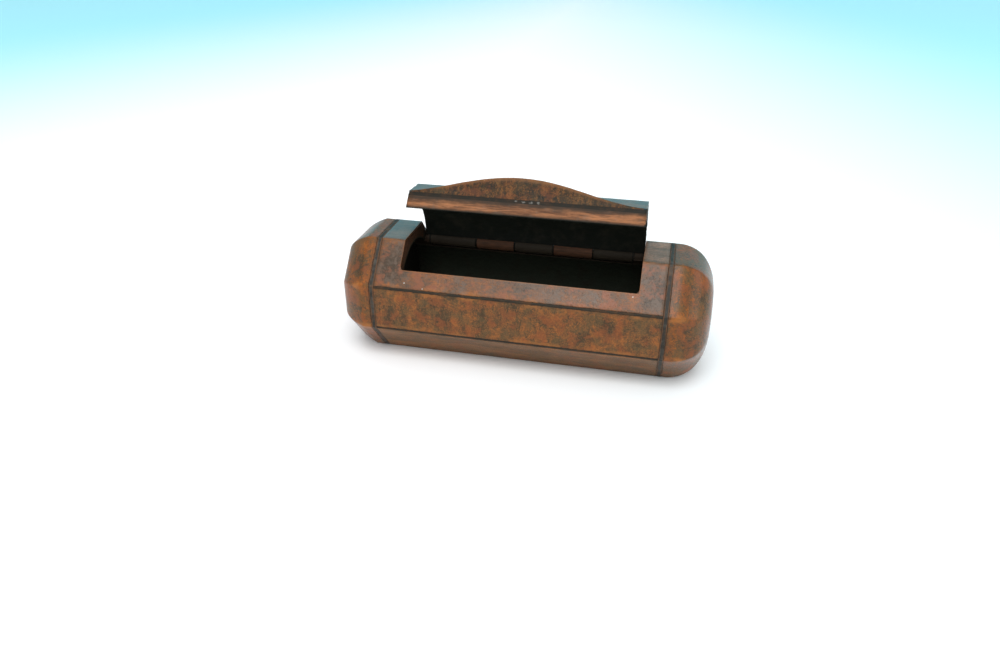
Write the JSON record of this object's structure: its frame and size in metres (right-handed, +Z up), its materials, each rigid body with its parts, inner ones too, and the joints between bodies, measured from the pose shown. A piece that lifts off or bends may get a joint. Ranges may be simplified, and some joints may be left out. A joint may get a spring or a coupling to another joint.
{
  "type": "snuff box",
  "caption": "Octagonal wooden snuff box with domed ends, dark stringing and a lid on an integral wooden knuckle hinge, opened by a bow-shaped thumb crest.",
  "frame": {"origin": "under the middle of the bottom facet, on the surface the box rests on", "axes": "+X along the box, -Y to the front where the thumb crest is, +Z up"},
  "size_m": [0.094, 0.0308, 0.0465],
  "materials": {
    "burr_wood": "waxed burr, orange brown with dark mottles",
    "plain_wood": "waxed, plainer grey-red grain",
    "carcase_wood": "dark, unpolished inside",
    "dark_inlay": "near-black, satin",
    "brass_wire": "tarnished"
  },
  "bodies": {
    "box": {"carcase": "carcase_wood", "top_left_panel": "plain_wood", "top_right_panel": "plain_wood", "upper_front_panel": "plain_wood", "front_panel": "burr_wood", "lower_front_panel": "plain_wood", "bottom_panel": "plain_wood", "lower_rear_panel": "plain_wood", "rear_panel": "burr_wood", "upper_rear_panel": "plain_wood", "left_band": "dark_inlay", "right_band": "dark_inlay", "left_cap": "burr_wood", "right_cap": "burr_wood", "hinge_pin": "brass_wire", "front_upper_string": "dark_inlay", "front_lower_string": "dark_inlay", "rear_lower_string": "dark_inlay", "rear_upper_string": "dark_inlay"},
    "lid": {"lid_core": "carcase_wood", "lid_top_panel": "plain_wood", "lid_front_panel": "plain_wood", "lid_rear_panel": "plain_wood", "lid_string": "dark_inlay", "thumb_crest": "burr_wood"}
  },
  "joints": [
    {"name": "lid_hinge", "type": "hinge", "parent": "box", "child": "lid", "pos_m": [0, 0.01041, 0.02493], "axis": [-1, 0, 0], "range_deg": [-51, 44]}
  ]
}
